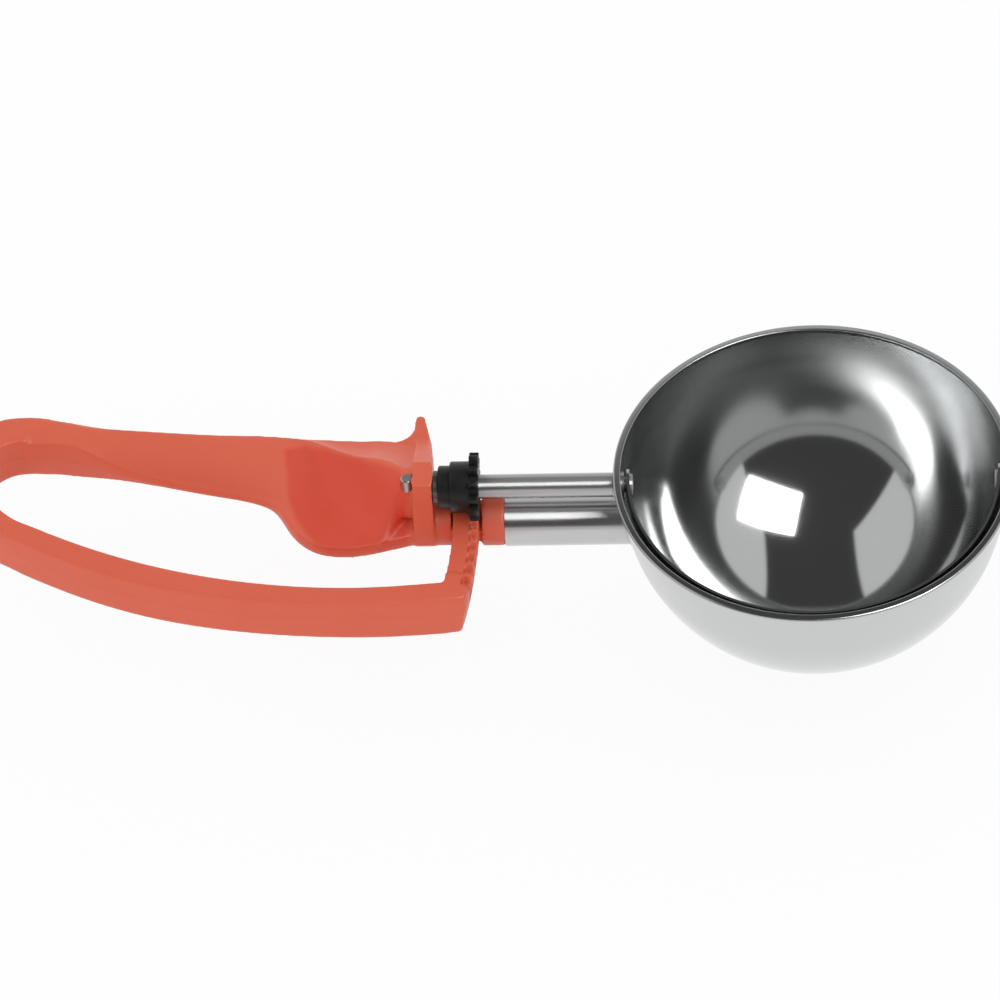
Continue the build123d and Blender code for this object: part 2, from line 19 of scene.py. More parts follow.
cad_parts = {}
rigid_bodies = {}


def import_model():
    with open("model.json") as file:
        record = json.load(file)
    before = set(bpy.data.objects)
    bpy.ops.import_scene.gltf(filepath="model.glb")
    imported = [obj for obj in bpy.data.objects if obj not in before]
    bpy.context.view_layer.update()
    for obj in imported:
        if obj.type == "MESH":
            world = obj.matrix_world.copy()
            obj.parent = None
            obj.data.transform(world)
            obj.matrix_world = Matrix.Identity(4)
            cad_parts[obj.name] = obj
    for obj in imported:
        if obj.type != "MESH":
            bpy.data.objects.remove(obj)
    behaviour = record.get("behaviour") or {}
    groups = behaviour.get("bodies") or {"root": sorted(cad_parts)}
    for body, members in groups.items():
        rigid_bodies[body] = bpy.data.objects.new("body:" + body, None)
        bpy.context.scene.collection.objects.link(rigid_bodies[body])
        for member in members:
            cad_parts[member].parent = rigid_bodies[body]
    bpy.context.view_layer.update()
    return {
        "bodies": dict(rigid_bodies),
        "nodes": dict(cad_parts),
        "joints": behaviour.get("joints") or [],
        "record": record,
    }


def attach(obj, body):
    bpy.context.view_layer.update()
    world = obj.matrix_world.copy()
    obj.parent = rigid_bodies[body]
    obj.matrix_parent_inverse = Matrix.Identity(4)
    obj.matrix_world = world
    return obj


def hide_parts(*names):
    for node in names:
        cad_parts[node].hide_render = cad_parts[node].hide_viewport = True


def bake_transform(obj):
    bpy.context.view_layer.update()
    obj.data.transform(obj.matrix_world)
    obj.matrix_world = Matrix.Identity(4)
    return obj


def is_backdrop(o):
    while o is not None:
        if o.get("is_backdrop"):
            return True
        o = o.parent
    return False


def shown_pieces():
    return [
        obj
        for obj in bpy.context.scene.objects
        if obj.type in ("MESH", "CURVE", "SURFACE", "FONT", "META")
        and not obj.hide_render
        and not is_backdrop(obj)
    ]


Point = tuple[float, float, float]
Pair = tuple[float, float]
Colour = tuple[float, float, float, float]
Edge = tuple[Point, float, float]
Socket = bpy.types.NodeSocket
Material = bpy.types.Material
Object = bpy.types.Object
Mesh = bmesh.types.BMesh

LOG = logging.getLogger("scoop")
POCKET_SHADE = "pocket_shade"  # the attribute that says where the thumb pocket's painted shade goes
MM = 0.001
WELD = 0.002 * MM  # points of a CAD node that are nearer than this are one
SNAP = 0.001 * MM  # a cut takes a point this near to its plane as one of its own
TOUCH = 0.02 * MM  # a point this near to an end face belongs to it
AXIS_RADIUS = 1e-9  # a lathed ring smaller than this is a single point
NOISE_RANGE = (0.3, 0.7)  # nearly all values of a noise texture lie in here
SHADE_RANGE = (0.35, 0.65)  # where in a noise the two shades of a dye stand
DOWN = -90.0  # the angle of a profile's arc that points down the axis
INWARDS = 180.0  # the angle that points straight at the axis
WHITE: Colour = (1.0, 1.0, 1.0, 1.0)


class Body(str, Enum):
    """The rigid bodies that a piece can ride on."""

    HANDLE = "handle_and_bowl"
    LEVER = "lever"
    SCRAPER = "scraper"


class Slot(str, Enum):
    """The names of the record's material slots for the pieces made here, which this script does not
    use.
    """

    PLASTIC = "handle_plastic"
    GEAR = "gear_plastic"
    POLISHED = "polished_steel"


class Join(str, Enum):
    """How two values of a shader become one."""

    GREATER = "MAXIMUM"
    PRODUCT = "MULTIPLY"


class Rise(str, Enum):
    """How a mapped value goes from its low end to its high end."""

    STRAIGHT = "LINEAR"
    SOFT = "SMOOTHSTEP"


# ---- node trees ------------------------------------------------------------------------


class Nodes:
    """Builds one node tree step by step."""

    def __init__(self, graph: bpy.types.NodeTree) -> None:
        """Starts on the tree of a material, a world or a geometry modifier."""
        self.graph = graph

    def link(self, source: Socket, target: Socket) -> None:
        """Joins two sockets."""
        self.graph.links.new(source, target)

    def node(
        self, kind: str, inputs: dict[str | int, object] | None = None, **values: object
    ) -> bpy.types.Node:
        """Adds a node, sets its plain properties and fills its inputs.

        Args:
            kind: The node's type, such as ShaderNodeBump.
            inputs: Sockets to link from, or plain values, by input name or number.
            values: Property names and their values.

        Returns:
            The new node.
        """
        made = self.graph.nodes.new(kind)
        for key, value in values.items():
            setattr(made, key, value)
        for key, value in (inputs or {}).items():
            if isinstance(value, Socket):
                self.link(value, made.inputs[key])
            else:
                made.inputs[key].default_value = value
        return made

    def combine(self, how: Join, first: object, second: object) -> Socket:
        """Joins two values, each a socket or a number."""
        return self.node("ShaderNodeMath", {0: first, 1: second}, operation=how.value).outputs[0]

    def mix(self, share: object, first: object, second: object) -> Socket:
        """Mixes two shaders, of which a share of 1 shows the second."""
        return self.node("ShaderNodeMixShader", {"Fac": share, 1: first, 2: second}).outputs[0]

    def ramp(self, value: Socket, low: Pair, high: Pair, rise: Rise = Rise.STRAIGHT) -> Socket:
        """Maps a value between two ends, and holds it level past them.

        Args:
            value: The value to map.
            low: The low end, and what it becomes.
            high: The high end, and what it becomes.
            rise: How the result goes from one to the other.

        Returns:
            The mapped value.
        """
        ends = {"From Min": low[0], "To Min": low[1], "From Max": high[0], "To Max": high[1]}
        made = self.node(
            "ShaderNodeMapRange", {"Value": value, **ends}, interpolation_type=rise.value
        )
        return made.outputs["Result"]


# ---- materials -------------------------------------------------------------------------


def linear(red: int, green: int, blue: int) -> Colour:
    """Converts an 8-bit sRGB colour to the linear colour that a shader takes.

    Args:
        red: Red, 0 to 255.
        green: Green, 0 to 255.
        blue: Blue, 0 to 255.

    Returns:
        The linear colour with full alpha.
    """

    def channel(value: int) -> float:
        """Converts one channel by the sRGB curve, with its straight foot."""
        share = value / 255
        return share / 12.92 if share <= 0.04045 else ((share + 0.055) / 1.055) ** 2.4

    return (channel(red), channel(green), channel(blue), 1.0)


class Shader(Nodes):
    """A node material with a Principled shader."""

    def __init__(self, name: str) -> None:
        """Starts the material.

        Args:
            name: The material's name.
        """
        self.material = bpy.data.materials.new(name)
        self.material.use_nodes = True
        super().__init__(self.material.node_tree)
        self.surface = self.graph.nodes["Principled BSDF"]

    def set(self, **values: object) -> None:
        """Sets inputs of the Principled shader, with underscores standing for spaces."""
        for key, value in values.items():
            self.surface.inputs[key.replace("_", " ")].default_value = value

    def place(self) -> Socket:
        """Returns the object coordinates."""
        return self.node("ShaderNodeTexCoord").outputs["Object"]

    def noise_at(self, place: Socket, scale: float, detail: float) -> Socket:
        """Adds a noise texture on given coordinates."""
        inputs = {"Vector": place, "Scale": scale, "Detail": detail}
        return self.node("ShaderNodeTexNoise", inputs).outputs["Fac"]

    def noise(self, scale: float, detail: float, stretch: Point = (1, 1, 1)) -> Socket:
        """Adds a noise texture on object coordinates.

        Args:
            scale: Cells per metre.
            detail: Octaves.
            stretch: How much each axis is packed, for grain that runs one way.

        Returns:
            The noise value.
        """
        packed = self.node("ShaderNodeMapping", {"Vector": self.place(), "Scale": stretch})
        return self.noise_at(packed.outputs["Vector"], scale, detail)

    def rings(self, scale: float, detail: float) -> Socket:
        """Adds a noise that is the same all round the Z axis, as a spinning tool leaves it.

        Args:
            scale: Cells per metre, outwards and upwards.
            detail: Octaves.

        Returns:
            The noise value.
        """
        place = self.place()
        flat = self.node("ShaderNodeVectorMath", {0: place, 1: (1, 1, 0)}, operation="MULTIPLY")
        reach = self.node("ShaderNodeVectorMath", {0: flat.outputs["Vector"]}, operation="LENGTH")
        height = self.node("ShaderNodeSeparateXYZ", {"Vector": place}).outputs["Z"]
        around = self.node("ShaderNodeCombineXYZ", {"X": reach.outputs["Value"], "Y": height})
        return self.noise_at(around.outputs["Vector"], scale, detail)

    def span(self, noise: Socket, low: float, high: float) -> Socket:
        """Maps a noise on to a range."""
        return self.ramp(noise, (NOISE_RANGE[0], low), (NOISE_RANGE[1], high))

    def bump(self, height: Socket, distance: float, strength: float) -> None:
        """Adds a bump on top of any earlier one.

        Args:
            height: The height value.
            distance: How high a full step is, in metres.
            strength: How much of the bump shows.
        """
        made = self.node(
            "ShaderNodeBump", {"Height": height, "Distance": distance, "Strength": strength}
        )
        normal = self.surface.inputs["Normal"]
        if normal.links:
            self.link(normal.links[0].from_socket, made.inputs["Normal"])
        self.link(made.outputs["Normal"], normal)

    def cross(self, first: object, second: object) -> Socket:
        """Adds the cross product of two vectors, each a socket or plain numbers."""
        inputs = {0: first, 1: second}
        return self.node("ShaderNodeVectorMath", inputs, operation="CROSS_PRODUCT").outputs[0]

    def drawn(self, amount: float) -> None:
        """Spreads reflections along the X axis, as a finish ground round a bar does.

        Args:
            amount: How uneven the spread is, from 0 for even to 1.
        """
        self.set(Anisotropic=amount)
        facing = self.node("ShaderNodeNewGeometry").outputs["Normal"]
        along = self.cross(self.cross(facing, (1, 0, 0)), facing)
        self.link(along, self.surface.inputs["Tangent"])

    def climb(self, value: Socket, low: Pair, high: Pair) -> Socket:
        """Scales a value by a factor that changes with height.

        Args:
            value: The value to scale.
            low: A height and its factor.
            high: A greater height and its factor.

        Returns:
            The scaled value.
        """
        height = self.node("ShaderNodeSeparateXYZ", {"Vector": self.place()}).outputs["Z"]
        return self.combine(Join.PRODUCT, self.ramp(height, low, high, Rise.SOFT), value)

    def shades(self, noise: Socket, first: Colour, second: Colour) -> None:
        """Colours the surface between two shades.

        Args:
            noise: Where between the shades a spot is.
            first: The shade at the low end of the noise.
            second: The shade at its high end.
        """
        dye = self.node("ShaderNodeValToRGB", {"Fac": noise})
        for stop, position, shade in zip(dye.color_ramp.elements, SHADE_RANGE, (first, second)):
            stop.position = position
            stop.color = shade
        self.link(dye.outputs["Color"], self.surface.inputs["Base Color"])

    def tint(self, attribute: str, colour: Colour) -> None:
        """Lays another colour over the surface where an attribute is set; the handle uses it for the
        thumb pocket's painted shade.

        Args:
            attribute: The attribute's name.
            colour: The colour.
        """
        mask = self.node("ShaderNodeAttribute", attribute_name=attribute)
        mix = self.node("ShaderNodeMix", {"Factor": mask.outputs["Fac"]}, data_type="RGBA")
        base = self.surface.inputs["Base Color"]
        first, second = (item for item in mix.inputs if item.type == "RGBA")
        self.link(base.links[0].from_socket, first)
        second.default_value = colour
        self.link(next(item for item in mix.outputs if item.type == "RGBA"), base)


@dataclass(frozen=True)
class MouldedPlastic:
    """A dyed moulded plastic with a faint orange-peel skin.

    Each pair that shapes a noise holds its cells per metre and its octaves, and the spread holds
    what the roughness gains at least and at most.
    """

    name: str
    colour: Colour
    shade: Colour
    roughness: float
    gloss: float
    # a darker, deeper orange painted into the thumb pocket as its shade
    pocket_shade: Colour | None = None
    dye: Pair = (45, 3)
    wear: Pair = (260, 4)
    spread: Pair = (-0.03, 0.05)
    peel: Pair = (1400, 3)
    peel_height: float = 0.012 * MM
    peel_strength: float = 0.6
    ripple: Pair = (120, 2)
    ripple_height: float = 0.048 * MM
    ripple_strength: float = 0.35

    def build(self) -> Material:
        """Builds the finish.

        Returns:
            The material.
        """
        shader = Shader(self.name)
        shader.set(Specular_IOR_Level=self.gloss)
        shader.shades(shader.noise(*self.dye), self.shade, self.colour)
        # paints the thumb pocket's shade over the dye
        if self.pocket_shade:
            shader.tint(POCKET_SHADE, self.pocket_shade)
        least, most = (self.roughness + step for step in self.spread)
        rough = shader.span(shader.noise(*self.wear), least, most)
        shader.link(rough, shader.surface.inputs["Roughness"])
        shader.bump(shader.noise(*self.peel), self.peel_height, self.peel_strength)
        shader.bump(shader.noise(*self.ripple), self.ripple_height, self.ripple_strength)
        return shader.material


@dataclass(frozen=True)
class Steel:
    """A stainless steel finish that is polished, ground or turned.

    Each pair that shapes a noise holds its cells per metre and its octaves, and each spread holds
    the least and the most that the roughness is multiplied by.
    """

    name: str
    colour: Colour
    roughness: float
    scratch: float
    stretch: Point = (1, 1, 1)
    drawn: float = 0.0
    wear: Pair = (300, 4)
    spread: Pair = (0.96, 1.06)
    lines: Pair = (900, 4)
    line_strength: float = 0.5

    def texture(self, shader: Shader, scale: float, detail: float) -> Socket:
        """Adds a noise whose grain runs as the finish does."""
        return shader.noise(scale, detail, self.stretch)

    def rough(self, shader: Shader) -> Socket:
        """Adds the uneven roughness."""
        least, most = (self.roughness * share for share in self.spread)
        return shader.span(self.texture(shader, *self.wear), least, most)

    def build(self) -> Material:
        """Builds the finish.

        Returns:
            The material.
        """
        shader = Shader(self.name)
        shader.set(Metallic=1.0, Base_Color=self.colour)
        shader.link(self.rough(shader), shader.surface.inputs["Roughness"])
        shader.bump(self.texture(shader, *self.lines), self.scratch, self.line_strength)
        if self.drawn:
            shader.drawn(self.drawn)
        return shader.material


@dataclass(frozen=True)
class GroundSteel(Steel):
    """A steel finish left by grinding a bar that lies along the X axis."""

    stretch: Point = (0.3, 1, 1)
    drawn: float = 1.0


@dataclass(frozen=True)
class SpunSteel(Steel):
    """A steel finish left by spinning: it runs round the Z axis, and its wall is more satin."""

    wear: Pair = (260, 3)
    spread: Pair = (0.94, 1.06)
    lines: Pair = (1500, 3)
    satin_wall: tuple[Pair, Pair] = ((-31.0 * MM, 1.0), (-11.0 * MM, 3.0))

    def texture(self, shader: Shader, scale: float, detail: float) -> Socket:
        """Adds a noise in rings."""
        return shader.rings(scale, detail)

    def rough(self, shader: Shader) -> Socket:
        """Adds the uneven roughness, which grows up the wall."""
        return shader.climb(super().rough(shader), *self.satin_wall)


class Finishes:
    """Every finish on the scoop, built once."""

    def __init__(self) -> None:
        """Builds the materials."""
        self.handle = MouldedPlastic(
            "orange_moulding",
            colour=linear(219, 96, 68),
            shade=linear(217, 93, 65),
            roughness=0.42,
            gloss=0.42,
            # the thumb pocket's painted shade
            pocket_shade=linear(215, 71, 45),
        ).build()
        self.gear = MouldedPlastic(
            "black_gear_moulding",
            colour=linear(26, 26, 27),
            shade=linear(20, 20, 21),
            roughness=0.4,
            gloss=0.36,
        ).build()
        self.bowl = SpunSteel(
            "spun_bowl_steel", colour=linear(202, 203, 203), roughness=0.085, scratch=0.0004 * MM
        ).build()
        self.rim = Steel(
            "bowl_rim_steel", colour=linear(178, 179, 179), roughness=0.2, scratch=0.0004 * MM
        ).build()
        grey = linear(200, 200, 201)
        self.stem = GroundSteel(
            "polished_stem_steel", colour=grey, roughness=0.305, scratch=0.0003 * MM
        ).build()
        self.rod = GroundSteel(
            "drawn_rod_steel", colour=grey, roughness=0.42, scratch=0.0005 * MM
        ).build()
        self.blade = Steel(
            "blade_steel", colour=linear(186, 186, 187), roughness=0.16, scratch=0.001 * MM
        ).build()
        self.turned = Steel(
            "turned_steel",
            colour=linear(184, 186, 185),
            roughness=0.34,
            scratch=0.003 * MM,
            stretch=(1, 0.2, 0.2),
        ).build()
        self.dull = Steel(
            "oiled_washer_steel", colour=linear(110, 110, 108), roughness=0.42, scratch=0.004 * MM
        ).build()


# ---- mesh helpers ----------------------------------------------------------------------


def dress(node: Object, material: Material) -> None:
    """Gives a piece or a carried-over CAD node its own finish.

    Args:
        node: The object.
        material: The finish.
    """
    if not node.material_slots:
        node.data.materials.append(material)
    for slot in node.material_slots:
        slot.material = material


def add_object(name: str, work: Mesh) -> Object:
    """Turns a worked mesh into an object of the scene, and frees it.

    Args:
        name: The object's name.
        work: The mesh.

    Returns:
        The object, at the origin.
    """
    mesh = bpy.data.meshes.new(name)
    work.to_mesh(mesh)
    work.free()
    made = bpy.data.objects.new(name, mesh)
    bpy.context.scene.collection.objects.link(made)
    return made


def merged(node: Object) -> Mesh:
    """Copies a CAD node's mesh with its loose triangles joined up.

    Args:
        node: The CAD node's object.

    Returns:
        The joined copy.
    """
    work = bmesh.new()
    work.from_mesh(node.data)
    bmesh.ops.remove_doubles(work, verts=work.verts, dist=WELD)
    return work


def settle(piece: Object) -> None:
    """Makes the result of a piece's modifiers its plain mesh.

    Args:
        piece: The piece.
    """
    graph = bpy.context.evaluated_depsgraph_get()
    mesh = bpy.data.meshes.new_from_object(piece.evaluated_get(graph))
    piece.modifiers.clear()
    piece.data = mesh


def soften(piece: Object, degrees: float) -> None:
    """Shades a piece smooth, with edges past an angle kept crisp.

    Args:
        piece: The piece.
        degrees: The angle.
    """
    piece.data.shade_smooth()
    piece.data.set_sharp_from_angle(angle=radians(degrees))


def cut_away(work: Mesh, point: Vector, normal: Vector) -> None:
    """Cuts off what lies past a plane and closes the cut.

    Args:
        work: The mesh.
        point: A point on the plane.
        normal: Points to the side that goes.
    """
    cut = bmesh.ops.bisect_plane(
        work,
        geom=[*work.verts, *work.edges, *work.faces],
        plane_co=point,
        plane_no=normal,
        clear_outer=True,
    )
    rims = [item for item in cut["geom_cut"] if isinstance(item, bmesh.types.BMEdge)]
    bmesh.ops.holes_fill(work, edges=rims, sides=0)


def keep_island(work: Mesh, near: Vector) -> None:
    """Keeps only the connected part of a mesh that comes nearest to a point.

    Args:
        work: The mesh.
        near: The point.
    """
    seed = min(work.verts, key=lambda vertex: (vertex.co - near).length_squared)
    found = {seed}
    waiting = [seed]
    while waiting:
        vertex = waiting.pop()
        for edge in vertex.link_edges:
            other = edge.other_vert(vertex)
            if other not in found:
                found.add(other)
                waiting.append(other)
    bmesh.ops.delete(work, geom=[v for v in work.verts if v not in found], context="VERTS")


# ---- handle ----------------------------------------------------------------------------


@dataclass
class Moulding:
    """The one-piece plastic handle: grip, flexing bend and squeeze lever.

    The three are cast as one skin over the solids, so that no seam shows where the bend runs out,
    and are then parted there, because each moves in its own way.
    """

    voxel: float = 0.4 * MM
    smoothing: int = 5
    seam_smoothing: int = 32
    smooth_step: float = 0.5
    seam_reach: float = 5.0 * MM
    overlap: float = 1.0 * MM
    rear_end: float = -196.0 * MM
    rear_seam: float = -195.5 * MM
    rear_side: float = 10.0 * MM
    root: Vector = field(default_factory=lambda: Vector((-199.086, -7.944, -16.6)) * MM)
    root_zone: float = 16.0 * MM
    slope: float = 31.0
    lever_crop: float = -150.0 * MM
    parting_height: float = -16.6 * MM
    parting_half: float = 0.17 * MM
    parting_rise: float = 0.05 * MM
    parting_reach: float = 0.01 * MM
    draft: float = 0.9
    steep: float = 0.5
    gate: Vector = field(default_factory=lambda: Vector((-120.0, 4.4)) * MM)
    gate_radius: float = 0.9 * MM
    gate_rise: float = 0.22 * MM
    flex_start: Point = (-0.2, 0.0222, -0.0166)
    flex_end: Point = (-0.2, -0.0024, -0.0166)
    post_corner: Pair = (-85.9 * MM, -31.4 * MM)
    # the thumb pocket's outline in millimetres, inside which its shade is painted
    pocket: tuple[Pair, ...] = (
        (-130.7, 18.6), (-130.0, 12.6), (-129.4, 4.7), (-127.8, 0.0), (-125.2, -4.8),
        (-122.3, -8.6), (-118.9, -9.9), (-114.0, -10.1), (-106.6, -9.0), (-100.2, -7.1),
        (-99.6, -1.7), (-101.4, 4.1), (-106.5, 8.3), (-114.3, 14.0), (-120.7, 18.2),
        (-125.8, 20.2),
    )
    pocket_floor: float = -18.0 * MM
    pocket_soft: float = 0.9 * MM
    pin_place: Pair = (-99.6 * MM, 0.0)
    pin_boss: tuple[Pair, ...] = ((-12.0, 3.2), (-8.0, 3.0), (-4.5, 1.75), (-4.3, 1.55))
    pin_facets: int = 48
    inside_grip: Point = (-150.0, 20.0, -16.0)
    inside_bend: Point = (-212.0, 12.0, -16.0)
    inside_lever: Point = (-120.0, -28.0, -16.0)
    crease: float = 50.0

    @property
    def heading(self) -> Vector:
        """The direction in which the lever leaves the bend."""
        slope = radians(self.slope)
        return Vector((cos(slope), -sin(slope), 0))

    def seam_weight(self, point: Vector) -> float:
        """How strongly a point is smoothed, from 1 at a seam to 0 away from it.

        Args:
            point: The point.

        Returns:
            The weight.
        """
        corner = hypot(point.x - self.post_corner[0], point.y - self.post_corner[1])
        if corner < self.seam_reach:
            away = corner
        elif point.y > self.rear_side:
            away = abs(point.x - self.rear_end)
        elif (point - self.root).length < self.root_zone:
            away = abs((point - self.root).dot(self.heading))
        else:
            return 0.0
        return max(0.0, 1 - away / self.seam_reach)

    def stretched_bend(self, node: Object) -> Mesh:
        """Copies the bend with both ends pushed into what they join.

        Args:
            node: The bend's CAD node.

        Returns:
            The longer copy.
        """
        work = merged(node)
        for vertex in work.verts:
            if vertex.co.y > self.rear_side and vertex.co.x > self.rear_end - TOUCH:
                vertex.co.x += self.overlap
            elif (vertex.co - self.root).dot(self.heading) > -TOUCH and vertex.co.y < 0:
                vertex.co += self.heading * self.overlap
        return work

    def pocket_shade(self, point: Vector) -> float:
        """How much painted shade a point gets: how far inside the thumb pocket it lies, from 0
        outside to 1 inside.

        Args:
            point: The point.

        Returns:
            The share.
        """
        if point.z < self.pocket_floor:
            return 0.0
        spot = Vector((point.x, point.y))
        corners = [Vector(corner) * MM for corner in self.pocket]
        within = False
        gap = inf
        for first, second in zip(corners, [*corners[1:], corners[0]]):
            run = second - first
            share = min(1.0, max(0.0, (spot - first).dot(run) / run.length_squared))
            gap = min(gap, (first + run * share - spot).length)
            if (first.y > spot.y) != (second.y > spot.y):
                crossing = first.x + run.x * (spot.y - first.y) / run.y
                within ^= spot.x < crossing
        depth = gap if within else -gap
        share = min(1.0, max(0.0, 0.5 + depth / (2 * self.pocket_soft)))
        return share * share * (3 - 2 * share)

    def boss(self) -> Mesh:
        """Turns the tapered foot of plastic that closes round the stem pin.

        Returns:
            The foot.
        """
        profile = [(height * MM, radius * MM) for height, radius in self.pin_boss]
        profile = [(profile[0][0], 0.0), *profile, (profile[-1][0], 0.0)]
        east, north = self.pin_place
        return lathe(
            profile,
            lambda z, r, a: (east + r * cos(a), north + r * sin(a), z),
            self.pin_facets,
        )

    def smooth(self, skin: Object, times: int, group: str = "") -> None:
        """Evens out a skin and settles it.

        Args:
            skin: The skin.
            times: How often its points move towards their neighbours.
            group: The vertex group that says how strongly, or none for all alike.
        """
        even = skin.modifiers.new("even", "SMOOTH")
        even.factor = self.smooth_step
        even.iterations = times
        even.vertex_group = group
        settle(skin)

    def cast(self, name: str, parts: Sequence[Mesh]) -> Mesh:
        """Casts one even skin over several overlapping solids, and marks it.

        Args:
            name: The name of the passing object.
            parts: The solids, which are freed.

        Returns:
            The skin.
        """
        whole = bmesh.new()
        for part in parts:
            mesh = bpy.data.meshes.new(name)
            part.to_mesh(mesh)
            part.free()
            whole.from_mesh(mesh)
            bpy.data.meshes.remove(mesh)
        skin = add_object(name, whole)
        remesh = skin.modifiers.new("skin", "REMESH")
        remesh.mode = "VOXEL"
        remesh.voxel_size = self.voxel
        self.smooth(skin, self.smoothing)
        group = skin.vertex_groups.new(name="seam")
        for vertex in skin.data.vertices:
            weight = self.seam_weight(vertex.co)
            if weight > 0:
                group.add([vertex.index], weight, "REPLACE")
        self.smooth(skin, self.seam_smoothing, group.name)
        work = bmesh.new()
        work.from_mesh(skin.data)
        bpy.data.objects.remove(skin)
        self.mark(work)
        return work

    def mark(self, work: Mesh) -> None:
        """Adds the mould's draft, its parting line and the gate mark.

        Args:
            work: The skin.
        """
        for height in (-self.parting_half, 0.0, self.parting_half):
            bmesh.ops.bisect_plane(
                work,
                geom=[*work.verts, *work.edges, *work.faces],
                dist=SNAP,
                plane_co=(0, 0, self.parting_height + height),
                plane_no=(0, 0, 1),
            )
        work.normal_update()
        lean = tan(radians(self.draft))
        shifts: list[tuple[bmesh.types.BMVert, Vector]] = []
        for vertex in work.verts:
            outward = vertex.normal
            away = abs(vertex.co.z - self.parting_height)
            if abs(outward.z) < self.steep:
                level = Vector((outward.x, outward.y, 0)).normalized()
                rise = self.parting_rise if away < self.parting_reach else 0.0
                shifts.append((vertex, level * (rise - away * lean)))
            gap = (vertex.co.xy - self.gate).length
            if gap < self.gate_radius and outward.z > self.steep:
                bulge = (1 - (gap / self.gate_radius) ** 2) ** 2
                shifts.append((vertex, outward * (self.gate_rise * bulge)))
        for vertex, shift in shifts:
            vertex.co += shift

    def finish(self, name: str, work: Mesh, node: str, material: Material) -> Object:
        """Dresses one part of the handle and lets it stand for its node.

        Args:
            name: The piece's name.
            work: Its mesh.
            node: The CAD node that it replaces.
            material: The finish.

        Returns:
            The piece, which rides on nothing yet.
        """
        bmesh.ops.triangulate(work, faces=[face for face in work.faces if len(face.verts) > 4])
        piece = add_object(name, work)
        soften(piece, self.crease)
        dress(piece, material)
        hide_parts(node)
        return piece

    def build(self, nodes: dict[str, Object], material: Material) -> None:
        """Builds the three parts of the handle.

        Args:
            nodes: The CAD nodes by name.
            material: The finish.
        """
        lever_root = merged(nodes["squeeze_lever"])
        cut_away(lever_root, Vector((self.lever_crop, 0, 0)), Vector((1, 0, 0)))
        solids = [merged(nodes["grip"]), self.boss(), self.stretched_bend(nodes["flex_bend"])]
        skin = self.cast("handle_skin", [*solids, lever_root])
        seam = Vector((self.rear_seam, 0, 0))
        grip = skin.copy()
        cut_away(grip, seam, Vector((-1, 0, 0)))
        keep_island(grip, Vector(self.inside_grip) * MM)
        piece = self.finish("moulded_grip", grip, "grip", material)
        # records how much painted shade each point of the pocket gets
        shade_layer = piece.data.attributes.new(POCKET_SHADE, "FLOAT", "POINT")
        shade_layer.data.foreach_set("value", [self.pocket_shade(vertex.co) for vertex in piece.data.vertices])
        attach(piece, Body.HANDLE.value)
        bend = skin
        cut_away(bend, self.root, self.heading)
        cut_away(bend, seam, Vector((1, 0, 0)))
        keep_island(bend, Vector(self.inside_bend) * MM)
        piece = self.finish("moulded_bend", bend, "flex_bend", material)
        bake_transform(piece)
        lever = self.cast(
            "lever_skin", [self.stretched_bend(nodes["flex_bend"]), merged(nodes["squeeze_lever"])]
        )
        cut_away(lever, self.root, -self.heading)
        keep_island(lever, Vector(self.inside_lever) * MM)
        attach(self.finish("moulded_lever", lever, "squeeze_lever", material), Body.LEVER.value)


# ---- turned and spun parts -------------------------------------------------------------


def lathe(
    profile: Sequence[Pair], place: Callable[[float, float, float], Point], segments: int
) -> Mesh:
    """Turns a profile about an axis. Where it meets the axis, the ring becomes one point.

    Args:
        profile: Pairs of height along the axis and radius.
        place: Gives the point for a height, a radius and an angle.
        segments: Facets round the axis.

    Returns:
        The mesh, with faces pointing outwards.
    """
    work = bmesh.new()
    turn = tau / segments
    angles = [step * turn for step in range(segments)]
    rings: list[list[bmesh.types.BMVert]] = []
    for height, radius in profile:
        if radius < AXIS_RADIUS:
            rings.append([work.verts.new(place(height, 0, 0))] * segments)
        else:
            rings.append([work.verts.new(place(height, radius, angle)) for angle in angles])
    for first, second in zip(rings, rings[1:]):
        for step in range(segments):
            after = (step + 1) % segments
            corners = [first[step], first[after], second[after], second[step]]
            work.faces.new(list(dict.fromkeys(corners)))
    bmesh.ops.recalc_face_normals(work, faces=work.faces)
    return work


def arc(centre: Pair, radius: float, start: float, end: float, steps: int) -> list[Pair]:
    """Points on an arc in the plane of a profile, as height and radius.

    Args:
        centre: The arc's centre.
        radius: Its radius.
        start: First angle in degrees, 0 pointing away from the axis and 90 up it.
        end: Last angle.
        steps: How many runs the arc has.

    Returns:
        The points.
    """
    angles = [radians(start + (end - start) * step / steps) for step in range(steps + 1)]
    return [(centre[0] + radius * sin(a), centre[1] + radius * cos(a)) for a in angles]


